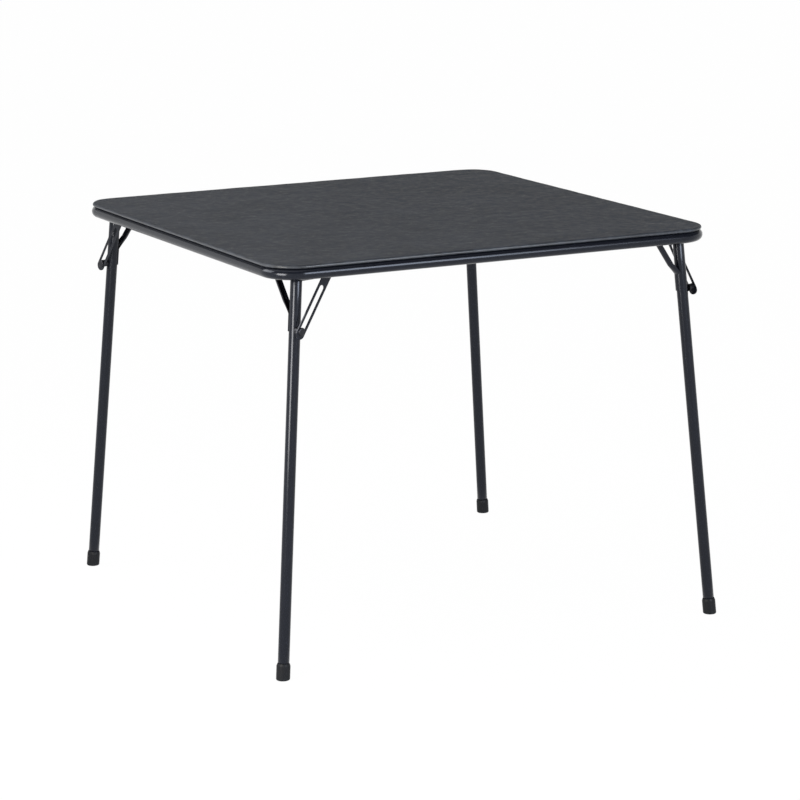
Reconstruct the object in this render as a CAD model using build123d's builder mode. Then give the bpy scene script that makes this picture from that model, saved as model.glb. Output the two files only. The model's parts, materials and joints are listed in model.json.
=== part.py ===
from build123d import *
import os
from math import cos, radians, sin, sqrt

# Folding card table. Millimetres, +Z up, origin on the floor under the centre of the top.
# The four corners are alike, each a quarter turn from the last. Every corner piece is made
# once, at the front left corner (-X, -Y), and turned about +Z to the other three.

# Table as a whole
TABLE_HEIGHT = 710.0
RAIL_SPAN = 860.0
FOOT_SPAN = 880.0

# Tube ring under the edge of the top
RAIL_OD = 20.0
RAIL_WALL = 1.2
RAIL_BEND_R = 65.0

# Panel: board, pad and the cover that wraps round both
BOARD_T = 3.2
PAD_T = 2.2
COVER_T = 0.8
COVER_EDGE_R = 2.6
COVER_INSET = 1.5
HEM_WIDTH = 24.0

# Leg tube and where its hinge stands, measured in from the outside of the rails
LEG_OD = 20.0
LEG_WALL = 1.0
LEG_HEAD = 7.0
HINGE_IN_X = 58.0
HINGE_IN_Y = 44.0
HINGE_UNDER_PANEL = 16.0
HINGE_TURN = 15.0

# Foot cap
CAP_OD = 24.0
CAP_HEIGHT = 28.5
CAP_SHOULDER = 4.0
CAP_LIP = 0.7
CAP_FLOOR = 4.0
CAP_EDGE_R = 2.5

# Hinge rod through leg, strut and bracket ears
ROD_D = 6.0
ROD_HEAD_D = 10.0
ROD_HEAD_T = 2.0
RUNNING_GAP = 0.05

# Bracket: gusset plate with two ears
SHEET_T = 2.0
EAR_R = 9.0
OUTER_EAR_OFF = 5.0
EYE_GAP = 1.0
GUSSET_LONG = 114.0
GUSSET_SHORT = 102.0
GUSSET_TIP = 42.0

# Leg strut: formed channel with a saddle on the leg and an eye on the rod
STRUT_REACH = 54.0
STRUT_OD = 12.5
STRUT_WALL = 1.5
KNEE_DROP = 45.0
KNEE_OUT = 24.0
SADDLE_T = 1.6
SADDLE_TOP_DROP = 66.0
SADDLE_LENGTH = 30.0
EYE_T = 4.0
EYE_R = 8.5
STRUT_WRAP = 96.0
SADDLE_WRAP = 56.0

# Lock link, its pivot and the rivet that runs in its slot
LINK_T = 2.0
LINK_WIDTH = 18.0
LINK_TAIL = 5.0
SLOT_WIDTH = 10.0
SLOT_START = 24.0
PIVOT_OUT = 49.0
LINK_OFF = 25.0
LOCK_DROP = 92.5
LOCK_ASIDE = 4.0
PIVOT_D = 6.0
PIVOT_COLLAR_D = 9.0
PIVOT_HEAD_D = 12.0
PIVOT_TAIL_T = 1.2
RIVET_GAP = 0.1
RIVET_COLLAR_D = 13.0
RIVET_HEAD_D = 14.0
RIVET_HEAD_T = 2.2
LEG_CLEAR = 0.6

# Panel screws, one in each wing of a gusset plate
SCREW_D = 3.2
SCREW_HEAD_D = 7.6
SCREW_HEAD_T = 2.0
SCREW_BITE = 2.6
SCREW_HOLE_GAP = 0.3
SCREW_IN = 18.0
SCREW_BACK = 34.0
SCREW_END = 8.0

# How much of a rivet head's height its round takes, and of an ear's half width
HEAD_ROUND_SHARE = 0.8
EAR_ROUND_SHARE = 0.95

# Heights worked out from the sizes above
panel_t = COVER_T + BOARD_T + PAD_T + COVER_T
panel_z = TABLE_HEIGHT - panel_t
board_z = panel_z + COVER_T
pad_z = board_z + BOARD_T
rail_z = panel_z - RAIL_OD / 2
hinge_z = panel_z - HINGE_UNDER_PANEL
rail_half = RAIL_SPAN / 2
cover_half = rail_half - COVER_INSET

# Gusset plate: its lower rims meet the round of the tube, and its origin is its outer corner
gusset_z = panel_z - SHEET_T
gusset_seat = RAIL_OD / 2 - sqrt((RAIL_OD / 2) ** 2 - (gusset_z - rail_z) ** 2)
gusset_edge = rail_half - RAIL_OD + gusset_seat
gusset = Plane(origin=(-gusset_edge, -gusset_edge, gusset_z))
screw_places = ((SCREW_IN, GUSSET_SHORT - SCREW_BACK), (GUSSET_LONG - SCREW_END, SCREW_IN))

# Frame of the front left hinge: x along the fold, y along the rod towards the middle, z up
hinge_x_dir = Vector(cos(radians(HINGE_TURN)), sin(radians(HINGE_TURN)), 0)
hinge_point = Vector(HINGE_IN_X - rail_half, HINGE_IN_Y - rail_half, hinge_z)
hinge = Plane(origin=hinge_point, x_dir=hinge_x_dir, z_dir=(0, 0, 1))
rod_axis = Axis(hinge.origin, hinge.y_dir)

# Frame of the leg: origin on the rod, z up along the tube
foot_at = (FOOT_SPAN - CAP_OD) / 2
foot_point = Vector(-foot_at, -foot_at, 0)
leg_length = (hinge_point - foot_point).length
leg_up = hinge_point - foot_point
leg = Plane(origin=hinge_point, x_dir=hinge.y_dir.cross(leg_up), z_dir=leg_up)

# Centre of the lock rivet, a little outside the leg's axis, seen along the rod
foot_in_hinge = hinge.to_local_coords(foot_point)
lock_share = LOCK_DROP / hinge_z
lock_x = foot_in_hinge.X * lock_share - LOCK_ASIDE
lock_y = foot_in_hinge.Y * lock_share
link_length = sqrt((PIVOT_OUT - lock_x) ** 2 + LOCK_DROP ** 2)

outer_ear_y = -LEG_OD / 2 - OUTER_EAR_OFF
inner_ear_y = STRUT_REACH + EYE_T / 2 + EYE_GAP + SHEET_T

CORNERS = ("front_left", "front_right", "back_right", "back_left")
QUARTER = 90.0


def across(y):
    """Plane square to the hinge rod at a place along it, facing out of the table."""
    return Plane(origin=hinge.from_local_coords((0, y, 0)), x_dir=hinge.x_dir, z_dir=-hinge.y_dir)


def export(piece, name):
    """Label a finished piece and write its file."""
    piece.part.label = name
    export_step(piece.part, f"parts/{name}.step")


def export_corners(piece, name):
    """Write the same piece at each of the four corners."""
    for count, corner in enumerate(CORNERS):
        with BuildPart() as turned:
            add(piece.part, rotation=(0, 0, count * QUARTER))
        export(turned, f"{corner}_{name}")


def make_frame_rail():
    """Tube bent into a ring with rounded corners."""
    mid = rail_half - RAIL_OD / 2
    bend = RAIL_BEND_R - RAIL_OD / 2
    with BuildPart() as piece:
        with BuildLine(Plane.XY.offset(rail_z)) as path:
            Polyline((0, -mid), (mid, -mid), (mid, mid), (-mid, mid), (-mid, -mid), (0, -mid))
            fillet(path.vertices().filter_by(lambda v: abs(v.X) > bend), bend)
        with BuildSketch(Plane(origin=(0, -mid, rail_z), x_dir=(0, 1, 0), z_dir=(1, 0, 0))):
            Circle(RAIL_OD / 2)
            Circle(RAIL_OD / 2 - RAIL_WALL, mode=Mode.SUBTRACT)
        sweep()
    return piece


def rounded_square(half, inset):
    """Square outline that follows the ring's corners at an inset from its outside."""
    RectangleRounded(2 * half, 2 * half, RAIL_BEND_R - inset)


def make_top_board():
    """Stiff board, with the pilot holes of the screws."""
    inset = COVER_INSET + COVER_T
    with BuildPart() as piece:
        with BuildSketch(Plane.XY.offset(board_z)):
            rounded_square(rail_half - inset, inset)
        extrude(amount=BOARD_T)
        with BuildSketch(Plane.XY.offset(board_z)):
            for x, y in screw_points():
                with Locations((x, y)):
                    Circle(SCREW_D / 2)
        extrude(amount=SCREW_BITE, mode=Mode.SUBTRACT)
    return piece


def make_top_pad():
    """Foam sheet on the board, its upper edge rounded under the cover."""
    inset = COVER_INSET + COVER_T
    with BuildPart() as piece:
        with BuildSketch(Plane.XY.offset(pad_z)):
            rounded_square(rail_half - inset, inset)
        extrude(amount=PAD_T)
        fillet(piece.faces().sort_by(Axis.Z)[-1].edges(), COVER_EDGE_R - COVER_T)
    return piece


def make_top_cover():
    """Vinyl over the pad and the edge of the board, with a hem under the board."""
    inner = COVER_INSET + COVER_T
    hem = COVER_INSET + HEM_WIDTH
    with BuildPart() as filling:
        with BuildSketch(Plane.XY.offset(board_z)):
            rounded_square(rail_half - inner, inner)
        extrude(amount=BOARD_T + PAD_T)
        fillet(filling.faces().sort_by(Axis.Z)[-1].edges(), COVER_EDGE_R - COVER_T)
    with BuildPart() as piece:
        with BuildSketch(Plane.XY.offset(panel_z)):
            rounded_square(cover_half, COVER_INSET)
        extrude(amount=panel_t)
        fillet(piece.faces().sort_by(Axis.Z)[-1].edges(), COVER_EDGE_R)
        add(filling.part, mode=Mode.SUBTRACT)
        with BuildSketch(Plane.XY.offset(panel_z)):
            rounded_square(rail_half - hem, hem)
        extrude(amount=COVER_T, mode=Mode.SUBTRACT)
    return piece


def screw_points():
    """Places of all panel screws, two at each corner."""
    points = []
    for count in range(len(CORNERS)):
        for place in screw_places:
            point = gusset.from_local_coords((*place, 0)).rotate(Axis.Z, count * QUARTER)
            points.append((point.X, point.Y))
    return points


def make_panel_screws():
    """Pan head screws, up through the gusset plates into the board."""
    head_z = gusset_z - SCREW_HEAD_T
    with BuildPart() as piece:
        with BuildSketch(Plane.XY.offset(head_z)):
            with Locations(*screw_points()):
                Circle(SCREW_HEAD_D / 2)
        extrude(amount=SCREW_HEAD_T)
        fillet(piece.faces().group_by(Axis.Z)[0].edges(), SCREW_HEAD_T / 2)
        with BuildSketch(Plane.XY.offset(head_z + SCREW_HEAD_T)):
            with Locations(*screw_points()):
                Circle(SCREW_D / 2)
        extrude(amount=SHEET_T + COVER_T + SCREW_BITE)
    return piece


def make_bracket():
    """Gusset plate welded into the corner of the ring, with an ear at each end of the rod."""
    with BuildPart() as piece:
        with BuildSketch(gusset) as plate:
            with BuildLine():
                Polyline(
                    (0, 0),
                    (GUSSET_LONG, 0),
                    (GUSSET_LONG, GUSSET_TIP),
                    (GUSSET_TIP, GUSSET_SHORT),
                    (0, GUSSET_SHORT),
                    close=True,
                )
            make_face()
            corner = plate.vertices().sort_by(lambda v: v.X + v.Y)[0]
            fillet(corner, gusset_edge - rail_half + RAIL_BEND_R)
        extrude(amount=SHEET_T)
        ear_top = panel_z - hinge_z
        with BuildSketch(across(outer_ear_y)):
            with BuildLine():
                Polyline(
                    (-EAR_R, ear_top),
                    (-EAR_R, -EAR_R),
                    (PIVOT_OUT + EAR_R, -EAR_R),
                    (PIVOT_OUT + EAR_R, ear_top),
                    close=True,
                )
            make_face()
            Circle(ROD_D / 2, mode=Mode.SUBTRACT)
            with Locations((PIVOT_OUT, 0)):
                Circle(PIVOT_D / 2, mode=Mode.SUBTRACT)
        extrude(amount=SHEET_T)
        with BuildSketch(across(inner_ear_y)):
            with BuildLine():
                Polyline((-EAR_R, ear_top), (-EAR_R, -EAR_R), (EAR_R, -EAR_R), (EAR_R, ear_top), close=True)
            make_face()
            Circle(ROD_D / 2, mode=Mode.SUBTRACT)
        extrude(amount=SHEET_T)
        rims = piece.edges().filter_by(rod_axis)
        fillet(rims.filter_by(lambda e: e.center().Z < hinge_z - EAR_R / 2), EAR_R * EAR_ROUND_SHARE)
        with BuildSketch(gusset):
            with Locations(*screw_places):
                Circle(SCREW_D / 2 + SCREW_HOLE_GAP)
        extrude(amount=SHEET_T, mode=Mode.SUBTRACT)
    return piece


def make_hinge_rod():
    """Rod riveted over at both ears."""
    shank = inner_ear_y - outer_ear_y + SHEET_T
    with BuildPart() as piece:
        with BuildSketch(across(inner_ear_y)):
            Circle(ROD_D / 2)
        extrude(amount=shank)
        for y, way in ((inner_ear_y, -1), (outer_ear_y - SHEET_T, 1)):
            with BuildSketch(across(y)):
                Circle(ROD_HEAD_D / 2)
            extrude(amount=way * ROD_HEAD_T)
        ends = piece.faces().filter_by(rod_axis).sort_by(rod_axis)
        fillet(ends[0].edges() + ends[-1].edges(), ROD_HEAD_T * HEAD_ROUND_SHARE)
    return piece


def make_link_pivot():
    """Shouldered rivet that stands the link off the outer ear."""
    link_in = -LINK_OFF + LINK_T / 2
    link_out = link_in - LINK_T
    with BuildPart() as piece:
        with BuildSketch(across(outer_ear_y + PIVOT_TAIL_T)):
            with Locations((PIVOT_OUT, 0)):
                Circle(PIVOT_COLLAR_D / 2)
        extrude(amount=PIVOT_TAIL_T)
        with BuildSketch(across(outer_ear_y)):
            with Locations((PIVOT_OUT, 0)):
                Circle(PIVOT_D / 2)
        extrude(amount=outer_ear_y - link_out + RIVET_GAP)
        with BuildSketch(across(outer_ear_y - SHEET_T)):
            with Locations((PIVOT_OUT, 0)):
                Circle(PIVOT_COLLAR_D / 2)
        extrude(amount=outer_ear_y - SHEET_T - link_in - RIVET_GAP)
        with BuildSketch(across(link_out - RIVET_GAP)):
            with Locations((PIVOT_OUT, 0)):
                Circle(PIVOT_HEAD_D / 2)
        extrude(amount=ROD_HEAD_T)
        fillet(outermost_rim(piece), ROD_HEAD_T * HEAD_ROUND_SHARE)
    return piece


def outermost_rim(piece):
    """Rim of the end face that lies furthest out along the rod."""
    return piece.faces().filter_by(rod_axis).sort_by(rod_axis)[0].edges()


def make_leg():
    """Leg tube, open at both ends, with holes for the rod."""
    with BuildPart() as piece:
        with BuildSketch(leg.offset(LEG_HEAD)):
            Circle(LEG_OD / 2)
            Circle(LEG_OD / 2 - LEG_WALL, mode=Mode.SUBTRACT)
        extrude(amount=CAP_FLOOR - leg_length - LEG_HEAD)
        with BuildSketch(across(LEG_OD)):
            Circle(ROD_D / 2 + RUNNING_GAP)
        extrude(amount=2 * LEG_OD, mode=Mode.SUBTRACT)
    return piece


def ring_sector(radius, wall, wrap):
    """Part of a ring, centred on the sketch's y axis."""
    with BuildLine() as outline:
        outer = CenterArc((0, 0), radius, 90 - wrap, 2 * wrap)
        inner = CenterArc((0, 0), radius - wall, 90 - wrap, 2 * wrap)
        Line(outer @ 0, inner @ 0)
        Line(outer @ 1, inner @ 1)
    make_face(outline.edges())


def make_leg_strut():
    """Formed channel from an eye on the rod down to a saddle that clasps the leg."""
    eye_point = hinge.from_local_coords((0, STRUT_REACH, 0))
    knee_point = leg.from_local_coords((0, KNEE_OUT, -KNEE_DROP))
    bar_up = eye_point - knee_point
    bar = Plane(origin=knee_point, x_dir=hinge.y_dir.cross(bar_up), z_dir=bar_up)
    with BuildPart() as piece:
        with BuildSketch(bar):
            ring_sector(STRUT_OD / 2, STRUT_WALL, STRUT_WRAP)
        with BuildSketch(leg.offset(-SADDLE_TOP_DROP)):
            ring_sector(LEG_OD / 2 + SADDLE_T, SADDLE_T, SADDLE_WRAP)
        loft()
        with BuildSketch(bar):
            ring_sector(STRUT_OD / 2, STRUT_WALL, STRUT_WRAP)
        extrude(amount=bar_up.length)
        with BuildSketch(leg.offset(-SADDLE_TOP_DROP)):
            ring_sector(LEG_OD / 2 + SADDLE_T, SADDLE_T, SADDLE_WRAP)
        extrude(amount=-SADDLE_LENGTH)
        with BuildSketch(across(STRUT_REACH + EYE_T / 2)):
            Circle(EYE_R)
        extrude(amount=EYE_T)
        with BuildSketch(across(STRUT_REACH + EYE_T / 2 + STRUT_OD)):
            Circle(STRUT_OD)
        extrude(amount=STRUT_OD, mode=Mode.SUBTRACT)
        with BuildSketch(across(STRUT_REACH + EYE_T / 2)):
            Circle(ROD_D / 2 + RUNNING_GAP)
        extrude(amount=2 * STRUT_OD, mode=Mode.SUBTRACT)
    return piece


def make_foot_cap():
    """Plastic cup pressed on the leg's end and cut level with the floor."""
    foot = Plane(origin=foot_point, x_dir=leg.x_dir, z_dir=leg.z_dir)
    side = Plane(origin=foot_point, x_dir=leg.x_dir, z_dir=-leg.y_dir)
    with BuildPart() as piece:
        with BuildSketch(side):
            with BuildLine():
                Polyline(
                    (0, -CAP_OD),
                    (CAP_OD / 2, -CAP_OD),
                    (CAP_OD / 2, CAP_HEIGHT - CAP_SHOULDER),
                    (LEG_OD / 2 + CAP_LIP, CAP_HEIGHT),
                    (0, CAP_HEIGHT),
                    close=True,
                )
            make_face()
        revolve(axis=Axis(foot.origin, foot.z_dir))
        split(bisect_by=Plane.XY, keep=Keep.TOP)
        fillet(piece.faces().sort_by(Axis.Z)[0].edges(), CAP_EDGE_R)
        with BuildSketch(foot.offset(CAP_FLOOR)):
            Circle(LEG_OD / 2)
        extrude(amount=CAP_HEIGHT, mode=Mode.SUBTRACT)
    return piece


def link_plane():
    """Plane of the link's inner face: origin on the pivot, x along the slot to the rivet."""
    pivot = hinge.from_local_coords((PIVOT_OUT, -LINK_OFF + LINK_T / 2, 0))
    rivet = hinge.from_local_coords((lock_x, -LINK_OFF + LINK_T / 2, -LOCK_DROP))
    return Plane(origin=pivot, x_dir=rivet - pivot, z_dir=-hinge.y_dir)


def make_lock_link():
    """Flat strap with round ends: a hole for the pivot and a long slot for the rivet."""
    slot_end = link_length + SLOT_WIDTH / 2
    arcs_apart = link_length + LINK_TAIL
    with BuildPart() as piece:
        with BuildSketch(link_plane()):
            with Locations((arcs_apart / 2, 0)):
                SlotCenterToCenter(arcs_apart, LINK_WIDTH)
            Circle(PIVOT_D / 2 + RUNNING_GAP, mode=Mode.SUBTRACT)
            with Locations(((SLOT_START + slot_end) / 2, 0)):
                SlotOverall(slot_end - SLOT_START, SLOT_WIDTH, mode=Mode.SUBTRACT)
        extrude(amount=LINK_T)
    return piece


def make_lock_rivet():
    """Shouldered rivet that runs in the slot, its collar against the leg."""
    centre = (lock_x, -LOCK_DROP)
    link_in = -LINK_OFF + LINK_T / 2
    link_out = link_in - LINK_T
    collar_in = lock_y - LEG_OD / 2 - LEG_CLEAR
    with BuildPart() as piece:
        with BuildSketch(across(collar_in)):
            with Locations(centre):
                Circle(RIVET_COLLAR_D / 2)
        extrude(amount=collar_in - link_in - RIVET_GAP)
        with BuildSketch(across(collar_in)):
            with Locations(centre):
                Circle(SLOT_WIDTH / 2 - RIVET_GAP)
        extrude(amount=collar_in - link_out + RIVET_GAP)
        with BuildSketch(across(link_out - RIVET_GAP)):
            with Locations(centre):
                Circle(RIVET_HEAD_D / 2)
        extrude(amount=RIVET_HEAD_T)
        fillet(outermost_rim(piece), RIVET_HEAD_T * HEAD_ROUND_SHARE)
    return piece


os.makedirs("parts", exist_ok=True)
export(make_frame_rail(), "frame_rail")
export(make_top_board(), "top_board")
export(make_top_pad(), "top_pad")
export(make_top_cover(), "top_cover")
export(make_panel_screws(), "panel_screws")
export_corners(make_bracket(), "bracket")
export_corners(make_hinge_rod(), "hinge_rod")
export_corners(make_link_pivot(), "link_pivot")
export_corners(make_leg(), "leg")
export_corners(make_leg_strut(), "leg_strut")
export_corners(make_foot_cap(), "foot_cap")
export_corners(make_lock_link(), "lock_link")
export_corners(make_lock_rivet(), "lock_rivet")
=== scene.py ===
"""Looks of the folding card table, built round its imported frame.

Lengths are in metres, in the frame's own axes. The front left corner is the pattern for the other
three, which are quarter turns of it about +Z.
"""

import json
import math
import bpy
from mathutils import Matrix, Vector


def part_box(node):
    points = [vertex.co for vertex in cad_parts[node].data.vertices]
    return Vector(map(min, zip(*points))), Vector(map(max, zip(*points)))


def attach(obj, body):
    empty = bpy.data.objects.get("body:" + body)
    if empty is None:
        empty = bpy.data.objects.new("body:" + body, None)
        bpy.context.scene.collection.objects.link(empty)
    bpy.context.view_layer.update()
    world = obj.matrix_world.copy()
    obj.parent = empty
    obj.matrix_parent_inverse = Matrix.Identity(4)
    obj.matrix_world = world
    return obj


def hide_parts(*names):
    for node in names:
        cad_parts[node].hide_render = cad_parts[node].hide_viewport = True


bl_info = {
    "name": "Folding card table",
    "version": (1, 0, 0),
    "blender": (4, 5, 0),
    "location": "View3D > Sidebar > Card Table",
    "description": "Vinyl top, tube frame, legs and lock hardware of a folding card table",
    "category": "Object",
}

import bpy
from mathutils import Matrix, Vector, noise

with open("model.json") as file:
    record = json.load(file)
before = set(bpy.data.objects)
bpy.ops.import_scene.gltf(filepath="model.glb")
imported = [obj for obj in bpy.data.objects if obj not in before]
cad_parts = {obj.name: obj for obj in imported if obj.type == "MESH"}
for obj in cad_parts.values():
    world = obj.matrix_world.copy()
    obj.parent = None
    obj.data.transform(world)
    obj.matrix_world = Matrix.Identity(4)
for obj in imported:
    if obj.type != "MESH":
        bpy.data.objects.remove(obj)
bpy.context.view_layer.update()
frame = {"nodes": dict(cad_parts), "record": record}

CORNERS = ("front_left", "front_right", "back_right", "back_left")

# How finely tubes, bends, edges and beads are cut
TUBE_SIDES = 44
BEND_STEPS = 28
STRAIGHT_STEPS = 24
LEG_STEPS = 12
EDGE_STEPS = 6
UNDER_STEPS = 4
BEAD_SIDES = 14
BEAD_STEPS = 30

# Grid lines of the cover past its round edge, in radii of that edge, and across the hem, in hem widths
EDGE_LINE_SHARES = (1.5, 2.3, 3.4, 5.0)
HEM_LINE_SHARES = (0.3, 0.6, 0.98)
HEM_WAVES = 55.0

# Slack cloth of the cover: its unevenness at the start, its make, and how long it settles
CLOTH_START_RISE = 0.0003
CLOTH_START_WAVES = 22.0
CLOTH_START_SEED = 5.0
CLOTH_MASS = 0.3
CLOTH_STRETCH = 15.0
CLOTH_BEND = 10.0
CLOTH_FRAMES = 20

# Weld beads: starts along a rail, the seam's angle round the tube, and how a bead tapers and ripples
STITCH_STARTS = (0.052, 0.078)
SEAM_ANGLE = math.radians(42)
BEAD_TAPER = 4.5
BEAD_TIP = 0.0004
BEAD_RIPPLES = 7
RIPPLE_DEPTH = 0.14

# Studio and camera
PHOTO_SIDE = 800
SENSOR = 36.0
FAR_CLIP = 200.0
STUDIO_REACH = 28.0
STUDIO_WALL = 9.0
STUDIO_SIDES = 96
FLOOR_DROP = 0.0002
SKY_SPREAD = math.radians(75)
SKY_TILT = (math.radians(-6), math.radians(-5), 0.0)
NEUTRAL = (1.0, 1.0, 1.0)
WARM = (1.0, 0.96, 0.88)
COOL = (0.85, 0.91, 1.0)

# Hinge and foot of the front left leg, as the record gives them
joints = {joint["name"]: joint for joint in frame["record"]["behaviour"]["joints"]}
mounts = {mount["name"]: mount for mount in frame["record"]["mounts"]}
HINGE = Vector(joints["front_left_fold"]["pos_m"])
ROD = -Vector(joints["front_left_fold"]["axis"])
FOOT = Vector(mounts["foot_face"]["pos_m"])
LEG_UP = (HINGE - FOOT).normalized()


# Arithmetic on shader sockets


class Wire:
    """A node's output that takes part in Python expressions."""

    def __init__(self, finish, socket):
        self.finish = finish
        self.socket = socket

    def beside(self, name):
        """Another output of the same node."""
        return Wire(self.finish, self.socket.node.outputs[name])

    def _maths(self, operation, first, second):
        return self.finish.node("ShaderNodeMath", {"operation": operation}, {0: first, 1: second})

    def __add__(self, other):
        return self._maths("ADD", self, other)

    def __radd__(self, other):
        return self._maths("ADD", other, self)

    def __sub__(self, other):
        return self._maths("SUBTRACT", self, other)

    def __rsub__(self, other):
        return self._maths("SUBTRACT", other, self)

    def __mul__(self, other):
        return self._maths("MULTIPLY", self, other)

    def __rmul__(self, other):
        return self._maths("MULTIPLY", other, self)


class Finish:
    """One material, or the world, and the nodes in it."""

    def __init__(self, owner):
        owner.use_nodes = True
        self.owner = owner
        self.tree = owner.node_tree
        self.tree.nodes.clear()

    def node(self, kind, settings=None, sockets=None):
        """Make a node: settings first, then values or links for its sockets."""
        made = self.tree.nodes.new(kind)
        for key, value in (settings or {}).items():
            if key == "stops":
                ramp = made.color_ramp.elements
                while len(ramp) < len(value):
                    ramp.new(1.0)
                for element, (place, level) in zip(ramp, value):
                    element.position = place
                    element.color = (level, level, level, 1.0)
            else:
                setattr(made, key, value)
        for key, value in (sockets or {}).items():
            if isinstance(value, Wire):
                self.tree.links.new(value.socket, made.inputs[key])
            else:
                made.inputs[key].default_value = value
        return Wire(self, made.outputs[0] if len(made.outputs) else None)

    def place(self):
        """Position on the piece, in metres, in the frame's axes."""
        return self.node("ShaderNodeTexCoord").beside("Object")

    def stretched(self, place, factors):
        """Position with each axis multiplied by its own factor."""
        return self.node("ShaderNodeVectorMath", {"operation": "MULTIPLY"}, {0: place, 1: factors})

    def part(self, place, axis):
        """One coordinate of a position."""
        return self.node("ShaderNodeSeparateXYZ", sockets={0: place}).beside(axis)

    def noise(self, place, scale, detail, roughness):
        """Smooth noise from 0 to 1, scale in waves a metre."""
        sockets = {"Vector": place, "Scale": scale, "Detail": detail, "Roughness": roughness}
        return self.node("ShaderNodeTexNoise", sockets=sockets)

    def cells(self, place, scale, feature):
        """Distances among scattered points, scale in points a metre."""
        return self.node("ShaderNodeTexVoronoi", {"feature": feature}, {"Vector": place, "Scale": scale})

    def ramp(self, value, *stops):
        """Grey value looked up between stops of (place, value)."""
        return self.node("ShaderNodeValToRGB", {"stops": stops}, {"Fac": value})

    def blend(self, factor, first, second):
        """Colour between two colours."""
        settings = {"data_type": "RGBA", "clamp_factor": True}
        mixed = self.node("ShaderNodeMix", settings, {0: factor, 6: first, 7: second})
        return Wire(self, mixed.socket.node.outputs[2])

    def bump(self, height, depth, strength, under=None):
        """Surface relief of a height from 0 to 1 and a depth in metres, on top of another."""
        sockets = {"Height": height, "Distance": depth, "Strength": strength}
        if under is not None:
            sockets["Normal"] = under
        return self.node("ShaderNodeBump", sockets=sockets)

    def surface(self, colour, roughness, relief, fixed=None):
        """Close the material with one plain shader; fixed holds its constant sockets."""
        sockets = {"Base Color": colour, "Roughness": roughness, "Normal": relief}
        sockets.update(fixed or {})
        shader = self.node("ShaderNodeBsdfPrincipled", sockets=sockets)
        self.node("ShaderNodeOutputMaterial", sockets={"Surface": shader})
        return self.owner


def shade(colour, factor):
    """The same colour, lighter or darker, with full alpha."""
    return (colour[0] * factor, colour[1] * factor, colour[2] * factor, 1.0)


def once(name, make, settings):
    """A material by name, made the first time it is asked for."""
    return bpy.data.materials.get(name) or make(Finish(bpy.data.materials.new(name)), settings)


def flat_height(top):
    """Height of the cover where it lies flat, half its largest swell under its highest point."""
    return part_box("top_cover")[1].z - top.swell_cap / 2


# Finishes


def vinyl_finish(finish, top):
    """Leather grain pressed in vinyl, cloudy in tone, with painted shade darkening the grain's creases,
    stretched smooth and glossy along the rim.
    """
    place = finish.place()
    cloud = finish.noise(place, scale=12.0, detail=3.0, roughness=0.55)
    mottle = finish.noise(place, scale=62.0, detail=4.0, roughness=0.7)
    tone = finish.ramp(cloud * 0.2 + mottle * 0.8, (0.38, 0.0), (0.62, 1.0))
    crease = finish.ramp(finish.cells(place, top.grain_count, "DISTANCE_TO_EDGE"), (0.0, 0.0), (0.22, 1.0))
    pore = finish.noise(place, scale=4.0 * top.grain_count, detail=2.0, roughness=0.6)
    colour = finish.blend(tone, shade(top.vinyl, 0.55), shade(top.vinyl, 1.45))
    # Painted shade: the colour is darkened in the grain's creases
    colour = finish.blend((1.0 - crease) * 0.3, colour, shade(top.vinyl, 0.55))
    swell = finish.bump(mottle, top.grain_depth * 2.0, strength=0.6)
    drop = (flat_height(top) - finish.part(place, "Z")) * (1.0 / top.edge_round)
    stretched = finish.ramp(drop, (0.6, 0.0), (0.85, 1.0))
    pressed = (crease * 0.8 + pore * 0.2) * (1.0 - stretched * 0.7)
    grain = finish.bump(pressed, top.grain_depth, strength=0.6, under=swell)
    rough = top.vinyl_roughness + (mottle - 0.5) * 0.9 - (1.0 - crease) * 0.05
    fixed = {"Specular IOR Level": top.vinyl_gloss, "Coat Roughness": 0.2, "Coat Weight": stretched * 0.55}
    return finish.surface(colour, rough, grain, fixed)


def paint_finish(finish, metal):
    """Satin powder coat with its orange peel."""
    place = finish.place()
    peel = finish.noise(place, scale=700.0, detail=2.0, roughness=0.5)
    drift = finish.noise(place, scale=22.0, detail=3.0, roughness=0.5)
    speck = finish.noise(place, scale=2600.0, detail=1.0, roughness=0.5)
    colour = finish.blend(drift * 0.6 + speck * 0.4, shade(metal.paint, 0.85), shade(metal.paint, 1.15))
    rough = metal.paint_roughness + (drift - 0.5) * 0.06
    relief = finish.bump(peel, metal.peel_depth, strength=0.15)
    fixed = {"IOR": metal.paint_index, "Specular Tint": shade(metal.sheen, 1.0)}
    return finish.surface(colour, rough, relief, fixed)


def plastic_finish(finish, metal):
    """Moulded plastic of the foot caps: spark grain, scuffed where they meet the floor."""
    place = finish.place()
    spark = finish.noise(place, scale=1800.0, detail=2.0, roughness=0.6)
    scuff = finish.noise(place, scale=160.0, detail=3.0, roughness=0.6)
    low = finish.ramp(finish.part(place, "Z") * (1.0 / metal.scuff_height), (0.0, 1.0), (1.0, 0.0))
    worn = low * finish.ramp(scuff, (0.45, 0.0), (0.62, 1.0))
    colour = finish.blend(spark * 0.5, shade(metal.cap, 1.0), shade(metal.cap, 1.25))
    colour = finish.blend(worn * 0.5, colour, shade(metal.cap, 2.2))
    relief = finish.bump(spark, metal.peel_depth, strength=0.5)
    return finish.surface(colour, 0.5 + worn * 0.2, relief, {"Specular IOR Level": metal.cap_gloss})


def plating_finish(finish, metal):
    """Dark plated steel of rods, rivets and screws, with turning marks."""
    place = finish.place()
    turned = finish.noise(finish.stretched(place, (1.0, 1.0, 6.0)), scale=700.0, detail=3.0, roughness=0.6)
    patch = finish.noise(place, scale=120.0, detail=2.0, roughness=0.5)
    colour = finish.blend(patch, shade(metal.plating, 0.8), shade(metal.plating, 1.2))
    relief = finish.bump(turned, metal.peel_depth, strength=0.4)
    return finish.surface(colour, 0.38 + (turned - 0.5) * 0.14, relief, {"Metallic": 0.8})


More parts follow.
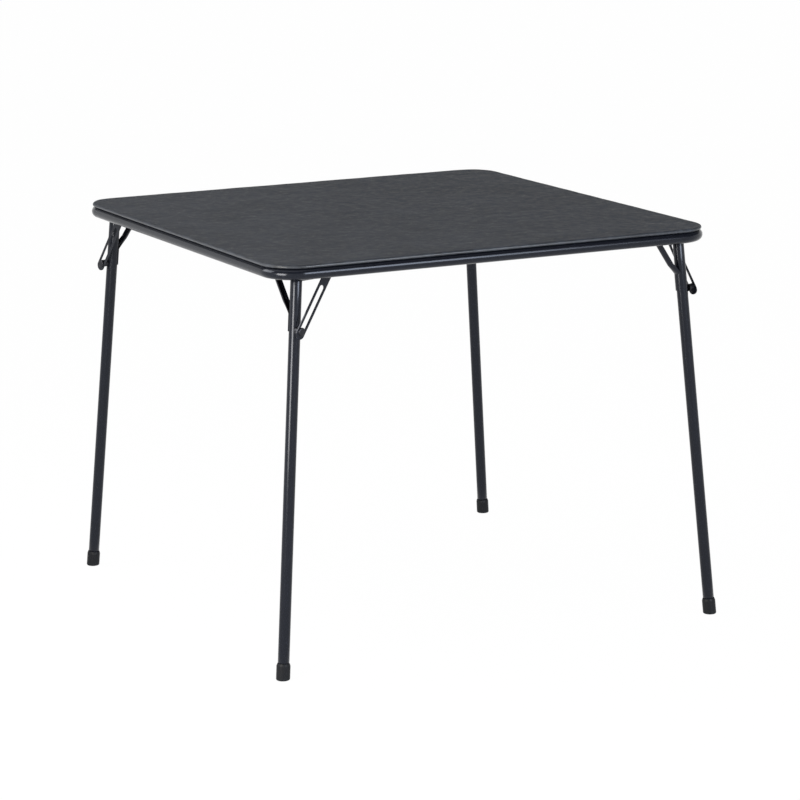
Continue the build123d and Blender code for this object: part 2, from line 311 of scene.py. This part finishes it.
def board_finish(finish, top):
    """Back of pressed board: cloudy fibre, and the mesh print of the screen it was pressed on."""
    place = finish.place()
    pitch = 2 * math.pi / top.screen_pitch
    across, along = (
        finish.node("ShaderNodeMath", {"operation": "SINE"}, {0: finish.part(place, axis) * pitch})
        for axis in "XY"
    )
    screen = across * along * 0.5 + 0.5
    fibre = finish.noise(finish.stretched(place, (1.0, 3.5, 1.0)), scale=190.0, detail=4.0, roughness=0.65)
    cloud = finish.noise(place, scale=7.0, detail=3.0, roughness=0.55)
    tone = finish.ramp(fibre * 0.55 + cloud * 0.45, (0.33, 0.0), (0.67, 1.0))
    colour = finish.blend(tone, shade(top.board, 0.72), shade(top.board, 1.2))
    colour = finish.blend(screen * 0.25, colour, shade(top.board, 0.6))
    relief = finish.bump(screen * 0.7 + fibre * 0.3, top.grain_depth, strength=0.6)
    return finish.surface(colour, 0.78 + (fibre - 0.5) * 0.1, relief)


# Mesh making


def new_piece(name, points, faces, finish):
    """Smooth mesh object from points and faces."""
    mesh = bpy.data.meshes.new(name)
    mesh.from_pydata([tuple(point) for point in points], [], faces)
    mesh.shade_smooth()
    mesh.materials.append(finish)
    piece = bpy.data.objects.new(name, mesh)
    bpy.context.scene.collection.objects.link(piece)
    return piece


def grid_faces(rows, columns, closed_rows=False, closed_columns=True, start=0):
    """Quads between rows of points that each hold the same number."""
    faces = []
    for row in range(rows if closed_rows else rows - 1):
        near, far = start + row * columns, start + (row + 1) % rows * columns
        for column in range(columns if closed_columns else columns - 1):
            beside = (column + 1) % columns
            faces.append((near + column, near + beside, far + beside, far + column))
    return faces


def ring_path(half, bend, corner_steps, edge_steps):
    """Points round a square with rounded corners, anticlockwise, with their outward directions."""
    found = []
    flat = half - bend
    for quarter in range(4):
        turn = Matrix.Rotation(quarter * math.pi / 2, 2)
        for step in range(edge_steps):
            along = -flat + 2 * flat * step / edge_steps
            found.append((turn @ Vector((half, along)), turn @ Vector((1.0, 0.0))))
        for step in range(corner_steps):
            angle = math.pi / 2 * step / corner_steps
            out = Vector((math.cos(angle), math.sin(angle)))
            found.append((turn @ (Vector((flat, flat)) + bend * out), turn @ out))
    return found


def lathe_rings(path, radii, aside, sides):
    """Rings of points square to a path of centres, each with its own radius."""
    points = []
    for index, (centre, radius) in enumerate(zip(path, radii)):
        way = (path[min(index + 1, len(path) - 1)] - path[max(index - 1, 0)]).normalized()
        first = (aside - way * way.dot(aside)).normalized()
        second = way.cross(first)
        for side in range(sides):
            angle = 2 * math.pi * side / sides
            points.append(centre + radius * (math.cos(angle) * first + math.sin(angle) * second))
    return points


def at_corners(pattern, name, body, node=None):
    """Set a front left piece and its copies at the four corners, each riding on its own body."""
    for count, corner in enumerate(CORNERS):
        piece = pattern
        if count:
            mesh = pattern.data.copy()
            mesh.transform(Matrix.Rotation(count * math.pi / 2, 4, "Z"))
            piece = bpy.data.objects.new(f"{corner}_{name}", mesh)
            bpy.context.scene.collection.objects.link(piece)
        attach(piece, body.format(corner=corner))
        if node:
            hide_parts(node.format(corner=corner))


def dress(node, finish, softened=0.0):
    """Give a CAD node its finish, and break its sharp edges."""
    piece = frame["nodes"][node]
    for slot in piece.material_slots:
        slot.material = finish
    if softened:
        bevel = piece.modifiers.new("softened_edges", "BEVEL")
        bevel.width = softened
        bevel.segments = 2
        bevel.limit_method = "ANGLE"
        bevel.angle_limit = math.radians(40)
        bevel.harden_normals = True


# Values a user would change


class TopSettings(bpy.types.PropertyGroup):
    """Sizes and colours of the panel."""

    vinyl: bpy.props.FloatVectorProperty(
        name="Vinyl", description="Colour of the cover", subtype="COLOR", default=(0.029, 0.0325, 0.0395)
    )
    vinyl_roughness: bpy.props.FloatProperty(
        name="Vinyl roughness", description="How dull the cover is", default=0.62, min=0.0, max=1.0
    )
    vinyl_gloss: bpy.props.FloatProperty(
        name="Vinyl gloss", description="How much the cover mirrors", default=0.2, min=0.0, max=1.0
    )
    grain_count: bpy.props.FloatProperty(
        name="Grain count", description="Pebbles of the leather grain along a metre",
        default=520.0, min=1.0,
    )
    grain_depth: bpy.props.FloatProperty(
        name="Grain depth", description="Depth of the vinyl's grain", default=0.0002, unit="LENGTH"
    )
    board: bpy.props.FloatVectorProperty(
        name="Board", description="Colour of the pressed board",
        subtype="COLOR", default=(0.115, 0.062, 0.034),
    )
    screen_pitch: bpy.props.FloatProperty(
        name="Screen pitch", description="Spacing of the screen print", default=0.0026, unit="LENGTH"
    )
    swell_cap: bpy.props.FloatProperty(
        name="Swell cap", description="How far the padded cover may move", default=0.0018, unit="LENGTH"
    )
    slack: bpy.props.FloatProperty(
        name="Slack", description="Spare width of the cover, as a share",
        default=0.0001, min=0.0, max=0.05,
    )
    foam_hold: bpy.props.FloatProperty(
        name="Foam hold", description="How firmly the glued foam holds the cover down",
        default=0.12, min=0.0, max=1.0,
    )
    foam_push: bpy.props.FloatProperty(
        name="Foam push", description="Pressure of the foam under the cover", default=0.15, min=0.0
    )
    cloth_grid: bpy.props.FloatProperty(
        name="Cloth grid", description="Spacing of the simulated cloth's points",
        default=0.0075, unit="LENGTH",
    )
    corner_round: bpy.props.FloatProperty(
        name="Corner round", description="Radius of the cover's corners", default=0.0635, unit="LENGTH"
    )
    edge_round: bpy.props.FloatProperty(
        name="Edge round", description="Radius of the upper edge", default=0.0034, unit="LENGTH"
    )
    lower_round: bpy.props.FloatProperty(
        name="Lower round", description="Radius where the cover turns under",
        default=0.0026, unit="LENGTH",
    )
    hem: bpy.props.FloatProperty(
        name="Hem", description="Width of the cover turned under the board", default=0.024, unit="LENGTH"
    )
    hem_waver: bpy.props.FloatProperty(
        name="Hem waver", description="How unevenly the hem is cut", default=0.0012, unit="LENGTH"
    )
    hem_thickness: bpy.props.FloatProperty(
        name="Hem thickness", description="Thickness of the vinyl at its cut edge",
        default=0.00075, unit="LENGTH",
    )


class FrameSettings(bpy.types.PropertyGroup):
    """Sizes and colours of the metalwork."""

    paint: bpy.props.FloatVectorProperty(
        name="Paint", description="Colour of the powder coat",
        subtype="COLOR", default=(0.0052, 0.006, 0.0092),
    )
    sheen: bpy.props.FloatVectorProperty(
        name="Sheen", description="Tint of the powder coat's reflections",
        subtype="COLOR", default=(0.86, 0.9, 1.0),
    )
    paint_roughness: bpy.props.FloatProperty(
        name="Paint roughness", description="How dull the powder coat is", default=0.18, min=0.0, max=1.0
    )
    paint_index: bpy.props.FloatProperty(
        name="Paint index", description="Index of refraction of the powder coat",
        default=1.34, min=1.0, max=2.0,
    )
    peel_depth: bpy.props.FloatProperty(
        name="Peel depth", description="Depth of the orange peel", default=0.00004, unit="LENGTH"
    )
    cap: bpy.props.FloatVectorProperty(
        name="Foot cap", description="Colour of the foot caps",
        subtype="COLOR", default=(0.0062, 0.0068, 0.0085),
    )
    cap_gloss: bpy.props.FloatProperty(
        name="Foot cap gloss", description="How much the foot caps mirror", default=0.16, min=0.0, max=1.0
    )
    scuff_height: bpy.props.FloatProperty(
        name="Scuff height", description="How far up the caps are worn", default=0.006, unit="LENGTH"
    )
    plating: bpy.props.FloatVectorProperty(
        name="Plating", description="Colour of rods, rivets and screws",
        subtype="COLOR", default=(0.024, 0.0245, 0.029),
    )
    leg_wall: bpy.props.FloatProperty(
        name="Leg wall", description="Wall of the leg tubes", default=0.001, unit="LENGTH"
    )
    leg_head: bpy.props.FloatProperty(
        name="Leg head", description="How far a leg tube stands past its rod",
        default=0.007, unit="LENGTH",
    )
    cap_floor: bpy.props.FloatProperty(
        name="Cap floor", description="Height of the leg tube's end over the floor",
        default=0.004, unit="LENGTH",
    )
    edge_break: bpy.props.FloatProperty(
        name="Edge break", description="Rounding of the sheet metal's edges",
        default=0.0004, unit="LENGTH",
    )
    bead: bpy.props.FloatProperty(
        name="Weld bead", description="Radius of the weld beads", default=0.0017, unit="LENGTH"
    )
    stitch: bpy.props.FloatProperty(
        name="Weld stitch", description="Length of one weld", default=0.024, unit="LENGTH"
    )


class StageSettings(bpy.types.PropertyGroup):
    """Camera and light."""

    yaw: bpy.props.FloatProperty(
        name="Turn", description="Camera's turn about the table",
        subtype="ANGLE", default=math.radians(-27.22),
    )
    pitch: bpy.props.FloatProperty(
        name="Pitch", description="Camera's height angle", subtype="ANGLE", default=math.radians(12.18)
    )
    roll: bpy.props.FloatProperty(
        name="Roll", description="Camera's tilt", subtype="ANGLE", default=-0.0074
    )
    distance: bpy.props.FloatProperty(
        name="Distance", description="From the camera to its target", default=6.035, unit="LENGTH"
    )
    target: bpy.props.FloatVectorProperty(
        name="Target", description="Point in the middle of the picture",
        subtype="XYZ", default=(0.0283, 0.0174, 0.3538),
    )
    focal_pixels: bpy.props.FloatProperty(
        name="Focal length", description="Focal length in pixels of the photograph", default=3251.3
    )
    ceiling: bpy.props.FloatProperty(
        name="Ceiling", description="Brightness of the dim room over the white backdrop",
        default=0.12, min=0.0, max=1.0,
    )
    overhead: bpy.props.FloatProperty(
        name="Overhead", description="Strength of the wide overhead light", default=1.35, min=0.0
    )
    side_light: bpy.props.FloatProperty(
        name="Side light", description="Power of the upright softbox at the left",
        subtype="POWER", default=25.0,
    )
    front_light: bpy.props.FloatProperty(
        name="Front light", description="Power of the softbox at the front right",
        subtype="POWER", default=170.0,
    )
    left_light: bpy.props.FloatProperty(
        name="Left light", description="Power of the high softbox at the left",
        subtype="POWER", default=30.0,
    )
    floor_glow: bpy.props.FloatProperty(
        name="Floor glow", description="How much of the backdrop's white is its own",
        default=0.985, min=0.0, max=1.0,
    )


# Pieces of the top


def rim_square(across, along, half, bend):
    """Point of a square grid, moved so that the grid's rim follows rounded corners."""
    over_x, over_y = abs(across) - half + bend, abs(along) - half + bend
    if over_x <= 0 or over_y <= 0:
        return across, along
    pull = max(over_x, over_y) / math.hypot(over_x, over_y)
    return (
        math.copysign(half - bend + over_x * pull, across),
        math.copysign(half - bend + over_y * pull, along),
    )


def cloth_heights(half, settings):
    """Heights of slack vinyl over foam, from a cloth simulation, as a square grid over the panel."""
    count = round(2 * half / settings.cloth_grid) + 1
    pitch = 2 * half / (count - 1)
    points, held = [], []
    for row in range(count):
        for column in range(count):
            x, y = column * pitch - half, row * pitch - half
            wave = Vector((x * CLOTH_START_WAVES, y * CLOTH_START_WAVES, CLOTH_START_SEED))
            points.append((x, y, CLOTH_START_RISE * noise.noise(wave)))
            reach = half - max(abs(x), abs(y))
            held.append(1.0 if reach < pitch / 2 else settings.foam_hold)
    faces = grid_faces(count, count, closed_columns=False)
    sheet = new_piece("cloth_trial", points, faces, None)
    group = sheet.vertex_groups.new(name="held")
    for index, weight in enumerate(held):
        group.add([index], weight, "REPLACE")
    cloth = sheet.modifiers.new("cloth", "CLOTH")
    cloth.settings.quality = 4
    cloth.settings.mass = CLOTH_MASS
    cloth.settings.vertex_group_mass = "held"
    cloth.settings.pin_stiffness = 1.0
    cloth.settings.tension_stiffness = CLOTH_STRETCH
    cloth.settings.compression_stiffness = CLOTH_STRETCH
    cloth.settings.bending_stiffness = CLOTH_BEND
    cloth.settings.shrink_min = -settings.slack
    cloth.settings.use_pressure = True
    cloth.settings.uniform_pressure_force = settings.foam_push
    cloth.settings.effector_weights.gravity = 0.0
    scene = bpy.context.scene
    for step in range(CLOTH_FRAMES):
        scene.frame_set(step + 1)
    settled = sheet.evaluated_get(bpy.context.evaluated_depsgraph_get()).to_mesh()
    cap = settings.swell_cap
    heights = [cap * math.tanh(point.co.z / cap) for point in settled.vertices]
    bpy.data.objects.remove(sheet)
    scene.frame_set(1)
    return heights, count, pitch


def skirt_levels(settings, rim, bottom):
    """Insets and heights of the cover below its rim: side, turn under the board, hem and cut edge."""
    under, hem = settings.lower_round, settings.hem
    levels = [(0.0, bottom + under + 0.5 * (rim - bottom - under)), (0.0, bottom + under)]
    for step in range(1, UNDER_STEPS + 1):
        angle = math.pi / 2 * step / UNDER_STEPS
        levels.append((under * (1 - math.cos(angle)), bottom + under * (1 - math.sin(angle))))
    levels += [(hem * share, bottom) for share in HEM_LINE_SHARES]
    levels.append((hem, bottom + settings.hem_thickness / 2))
    levels.append((hem * HEM_LINE_SHARES[-1], bottom + settings.hem_thickness))
    return levels


class CARDTABLE_OT_cover(bpy.types.Operator):
    """Vinyl cover over the pad, rolled over the edge and hemmed under the board"""

    bl_idname = "cardtable.cover"
    bl_label = "Vinyl cover"

    def execute(self, context):
        settings = context.scene.cardtable_top
        low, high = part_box("top_cover")
        half, bend = high.x, settings.corner_round
        heights, count, pitch = cloth_heights(half, settings)

        def swell(x, y):
            """Height of the settled cloth, between its points."""
            across, along = (x + half) / pitch, (y + half) / pitch
            column, row = min(int(across), count - 2), min(int(along), count - 2)
            right, up = across - column, along - row
            near, far = (
                heights[line * count + column] * (1 - right) + heights[line * count + column + 1] * right
                for line in (row, row + 1)
            )
            return near * (1 - up) + far * up

        edge, top = settings.edge_round, flat_height(settings)
        angles = [math.pi / 2 * step / EDGE_STEPS for step in range(EDGE_STEPS + 1)]
        insets = [edge * (1 - math.cos(angle)) for angle in angles]
        insets += [edge * share for share in EDGE_LINE_SHARES]
        inner = half - insets[-1]
        spans = round(2 * inner / settings.cloth_grid)
        lines = [inset - half for inset in insets]
        lines += [-inner + 2 * inner * step / spans for step in range(1, spans)]
        lines += [half - inset for inset in reversed(insets)]
        points = []
        for along in lines:
            for across in lines:
                inset = half - max(abs(across), abs(along))
                x, y = rim_square(across, along, half, bend)
                drop = edge - math.sqrt(edge ** 2 - max(edge - inset, 0.0) ** 2)
                fade = min(inset / edge, 1.0)
                points.append((x, y, top - drop + fade * swell(x, y)))
        side = len(lines)
        faces = grid_faces(side, side, closed_columns=False)

        rim = list(range(side)) + [row * side + side - 1 for row in range(1, side)]
        rim += [side * side - 1 - step for step in range(1, side)]
        rim += [(side - 1 - step) * side for step in range(1, side - 1)]
        upper, columns = rim, len(rim)
        for inset, height in skirt_levels(settings, top - edge, low.z):
            lower = [len(points) + column for column in range(columns)]
            for index in rim:
                x, y, _ = points[index]
                out = Vector((max(abs(x) - half + bend, 0.0), max(abs(y) - half + bend, 0.0))).normalized()
                reach = inset
                if inset > settings.lower_round:
                    reach += settings.hem_waver * noise.noise(Vector((x, y, 0.0)) * HEM_WAVES)
                x -= math.copysign(out.x * reach, x)
                y -= math.copysign(out.y * reach, y)
                points.append((x, y, height))
            for column in range(columns):
                beside = (column + 1) % columns
                faces.append((upper[beside], upper[column], lower[column], lower[beside]))
            upper = lower
        piece = new_piece("vinyl_cover", points, faces, once("grained_vinyl", vinyl_finish, settings))
        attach(piece, "table_top")
        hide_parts("top_cover", "top_pad")
        return {"FINISHED"}


class CARDTABLE_OT_board(bpy.types.Operator):
    """Finish of the pressed board seen from below"""

    bl_idname = "cardtable.board"
    bl_label = "Board"

    def execute(self, context):
        dress("top_board", once("pressed_board_back", board_finish, context.scene.cardtable_top))
        return {"FINISHED"}


# Pieces of the metalwork


class CARDTABLE_OT_rail(bpy.types.Operator):
    """Tube ring under the edge of the top"""

    bl_idname = "cardtable.rail"
    bl_label = "Frame rail"

    def execute(self, context):
        settings = context.scene.cardtable_frame
        low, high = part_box("frame_rail")
        radius = (high.z - low.z) / 2
        middle = (low.z + high.z) / 2
        bend = context.scene.cardtable_top.corner_round - radius
        path = ring_path(high.x - radius, bend, BEND_STEPS, STRAIGHT_STEPS)
        points = []
        for (x, y), out in path:
            for side in range(TUBE_SIDES):
                angle = 2 * math.pi * side / TUBE_SIDES
                reach = radius * math.cos(angle)
                points.append((x + out.x * reach, y + out.y * reach, middle + radius * math.sin(angle)))
        faces = grid_faces(len(path), TUBE_SIDES, closed_rows=True)
        piece = new_piece("rail_tube", points, faces, once("frame_powder_coat", paint_finish, settings))
        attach(piece, "table_top")
        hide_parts("frame_rail")
        return {"FINISHED"}


class CARDTABLE_OT_legs(bpy.types.Operator):
    """Leg tubes, their upper edges deburred"""

    bl_idname = "cardtable.legs"
    bl_label = "Legs"

    def execute(self, context):
        settings = context.scene.cardtable_frame
        low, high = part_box("frame_rail")
        # A leg is as thick as the rail
        radius = (high.z - low.z) / 2
        bore = radius - settings.leg_wall
        burr = settings.edge_break
        top = HINGE + LEG_UP * settings.leg_head
        bottom = FOOT + LEG_UP * settings.cap_floor
        depth = (top - bottom).length
        stations = [(0.0, bore), (0.0, radius - burr), (burr / 3, radius - burr / 3), (burr, radius)]
        stations += [(depth * step / LEG_STEPS, radius) for step in range(1, LEG_STEPS)]
        stations += [(depth, radius), (depth, bore)]
        path = [top - LEG_UP * down for down, _ in stations]
        first = (ROD - LEG_UP * LEG_UP.dot(ROD)).normalized()
        second = LEG_UP.cross(first)
        points = []
        for centre, (_, size) in zip(path, stations):
            for side in range(TUBE_SIDES):
                angle = 2 * math.pi * side / TUBE_SIDES
                points.append(centre + size * (math.cos(angle) * first - math.sin(angle) * second))
        faces = grid_faces(len(path), TUBE_SIDES, closed_rows=True)
        paint = once("frame_powder_coat", paint_finish, settings)
        pattern = new_piece("front_left_leg_tube", points, faces, paint)
        at_corners(pattern, "leg_tube", "{corner}_leg_body", "{corner}_leg")
        return {"FINISHED"}


class CARDTABLE_OT_welds(bpy.types.Operator):
    """Short welds between each gusset plate and the tube ring"""

    bl_idname = "cardtable.welds"
    bl_label = "Welds"

    def execute(self, context):
        settings = context.scene.cardtable_frame
        low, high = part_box("frame_rail")
        radius = (high.z - low.z) / 2
        seam_z = (low.z + high.z) / 2 + radius * math.sin(SEAM_ANGLE)
        seam_in = low.x + radius + radius * math.cos(SEAM_ANGLE) + settings.bead / 2
        points, faces = [], []
        for start in STITCH_STARTS:
            for swapped in (False, True):
                path, radii = [], []
                for step in range(BEAD_STEPS + 1):
                    share = step / BEAD_STEPS
                    along = low.x + start + settings.stitch * share
                    centre = (seam_in, along, seam_z) if swapped else (along, seam_in, seam_z)
                    path.append(Vector(centre))
                    taper = min(1.0, BEAD_TAPER * math.sqrt(max(share * (1 - share), BEAD_TIP)))
                    ripple = 1 - RIPPLE_DEPTH * (1 - abs(math.cos(share * math.pi * BEAD_RIPPLES)))
                    radii.append(settings.bead * taper * ripple)
                faces += grid_faces(len(path), BEAD_SIDES, start=len(points))
                points += lathe_rings(path, radii, Vector((0, 0, 1)), BEAD_SIDES)
        paint = once("frame_powder_coat", paint_finish, settings)
        pattern = new_piece("front_left_gusset_welds", points, faces, paint)
        at_corners(pattern, "gusset_welds", "table_top")
        return {"FINISHED"}


class CARDTABLE_OT_hardware(bpy.types.Operator):
    """Finishes of brackets, struts, links, rods, rivets, screws and foot caps"""

    bl_idname = "cardtable.hardware"
    bl_label = "Hardware"

    def execute(self, context):
        settings = context.scene.cardtable_frame
        paint = once("frame_powder_coat", paint_finish, settings)
        steel = once("dark_plated_steel", plating_finish, settings)
        plastic = once("foot_cap_plastic", plastic_finish, settings)
        for corner in CORNERS:
            for node in ("bracket", "leg_strut", "lock_link"):
                dress(f"{corner}_{node}", paint, settings.edge_break)
            for node in ("hinge_rod", "link_pivot", "lock_rivet"):
                dress(f"{corner}_{node}", steel)
            dress(f"{corner}_foot_cap", plastic)
        dress("panel_screws", steel)
        return {"FINISHED"}


# Stage


def backdrop_finish(finish, stage):
    """White to the camera and in reflections, and a matt surface that still takes a shadow."""
    path = finish.node("ShaderNodeLightPath")
    seen = path + path.beside("Is Glossy Ray") + path.beside("Is Transmission Ray")
    matt = finish.node("ShaderNodeBsdfDiffuse", sockets={"Color": (0.9, 0.9, 0.9, 1.0)})
    glow = finish.node("ShaderNodeEmission", sockets={"Color": (1.0, 1.0, 1.0, 1.0), "Strength": 1.0})
    whole = finish.node("ShaderNodeMixShader", sockets={0: seen * stage.floor_glow, 1: matt, 2: glow})
    finish.node("ShaderNodeOutputMaterial", sockets={"Surface": whole})
    return finish.owner


def soft_lamp(name, place, aim, size, power, colour):
    """Soft rectangular lamp that faces a point."""
    lamp = bpy.data.lights.new(name, "AREA")
    lamp.color = colour
    lamp.shape = "RECTANGLE"
    lamp.size, lamp.size_y = size
    lamp.energy = power
    holder = bpy.data.objects.new(name, lamp)
    holder.location = place
    holder.rotation_euler = (Vector(aim) - Vector(place)).to_track_quat("-Z", "Y").to_euler()
    bpy.context.scene.collection.objects.link(holder)


def light_stage(scene, settings):
    """Wide light from above, and three softboxes whose streaks show on the tubes."""
    sky = bpy.data.lights.new("overhead_light", "SUN")
    sky.energy = settings.overhead
    sky.angle = SKY_SPREAD
    holder = bpy.data.objects.new("overhead_light", sky)
    holder.rotation_euler = SKY_TILT
    scene.collection.objects.link(holder)
    softboxes = (
        ("side_softbox", (-1.52, -0.92, 0.68), (-0.43, -0.43, 0.6), (0.6, 0.7), settings.side_light, WARM),
        ("front_softbox", (1.2, -4.4, 1.75), (0.0, -0.43, 0.69), (2.2, 1.9), settings.front_light, COOL),
        ("left_softbox", (-1.9, 0.6, 1.6), (-0.3, 0.0, 0.7), (1.3, 1.0), settings.left_light, NEUTRAL),
    )
    for name, place, aim, size, power, colour in softboxes:
        soft_lamp(name, place, aim, size, power, colour)


def place_camera(scene, settings):
    """Camera of the photograph, looking at its target."""
    cosine, sine = math.cos(settings.pitch), math.sin(settings.pitch)
    back = Vector((math.sin(settings.yaw) * cosine, -math.cos(settings.yaw) * cosine, sine))
    right = (-back).cross(Vector((0, 0, 1))).normalized()
    up = right.cross(-back)
    cosine, sine = math.cos(settings.roll), math.sin(settings.roll)
    right, up = right * cosine + up * sine, up * cosine - right * sine
    lens = bpy.data.cameras.new("camera")
    lens.sensor_width = SENSOR
    lens.lens = settings.focal_pixels / PHOTO_SIDE * SENSOR
    lens.clip_end = FAR_CLIP
    camera = bpy.data.objects.new("camera", lens)
    turn = Matrix((right, up, back)).transposed().to_4x4()
    camera.matrix_world = Matrix.Translation(Vector(settings.target) + back * settings.distance) @ turn
    scene.collection.objects.link(camera)
    scene.camera = camera


class CARDTABLE_OT_stage(bpy.types.Operator):
    """White floor and far wall under a dim ceiling, soft lamps and the camera"""

    bl_idname = "cardtable.stage"
    bl_label = "Stage"

    def execute(self, context):
        settings = context.scene.cardtable_stage
        scene = context.scene
        white = once("studio_white", backdrop_finish, settings)
        angles = [2 * math.pi * side / STUDIO_SIDES for side in range(STUDIO_SIDES)]
        points = [(STUDIO_REACH * math.cos(angle), STUDIO_REACH * math.sin(angle), 0.0) for angle in angles]
        points += [(x, y, STUDIO_WALL) for x, y, _ in points]
        faces = grid_faces(2, STUDIO_SIDES) + [tuple(range(STUDIO_SIDES))]
        floor = new_piece("studio_floor", points, faces, white)
        floor.data.shade_flat()
        floor.location.z = -FLOOR_DROP

        room = Finish(bpy.data.worlds.new("dim_ceiling"))
        grey = settings.ceiling
        dim = room.node("ShaderNodeBackground", sockets={"Color": (grey, grey, grey, 1.0)})
        room.node("ShaderNodeOutputWorld", sockets={"Surface": dim})
        scene.world = room.owner

        light_stage(scene, settings)
        scene.view_settings.view_transform = "Standard"
        place_camera(scene, settings)
        return {"FINISHED"}


class CARDTABLE_PT_panel(bpy.types.Panel):
    """Builders of the card table's pieces"""

    bl_label = "Card Table"
    bl_idname = "CARDTABLE_PT_panel"
    bl_space_type = "VIEW_3D"
    bl_region_type = "UI"
    bl_category = "Card Table"

    def draw(self, context):
        for step in STEPS:
            self.layout.operator(step.bl_idname)
        for group in ("cardtable_top", "cardtable_frame", "cardtable_stage"):
            settings = getattr(context.scene, group)
            box = self.layout.box()
            for name in settings.__annotations__:
                box.prop(settings, name)


STEPS = (
    CARDTABLE_OT_cover,
    CARDTABLE_OT_board,
    CARDTABLE_OT_rail,
    CARDTABLE_OT_legs,
    CARDTABLE_OT_welds,
    CARDTABLE_OT_hardware,
    CARDTABLE_OT_stage,
)
CLASSES = (TopSettings, FrameSettings, StageSettings) + STEPS + (CARDTABLE_PT_panel,)


def register():
    """Make the settings, operators and panel known."""
    for item in CLASSES:
        bpy.utils.register_class(item)
    bpy.types.Scene.cardtable_top = bpy.props.PointerProperty(type=TopSettings)
    bpy.types.Scene.cardtable_frame = bpy.props.PointerProperty(type=FrameSettings)
    bpy.types.Scene.cardtable_stage = bpy.props.PointerProperty(type=StageSettings)


def unregister():
    """Take the settings, operators and panel away."""
    del bpy.types.Scene.cardtable_stage
    del bpy.types.Scene.cardtable_frame
    del bpy.types.Scene.cardtable_top
    for item in reversed(CLASSES):
        bpy.utils.unregister_class(item)


def main():
    """Build every piece in order."""
    register()
    for step in STEPS:
        group, name = step.bl_idname.split(".")
        getattr(getattr(bpy.ops, group), name)()


if __name__ == "__main__":
    main()
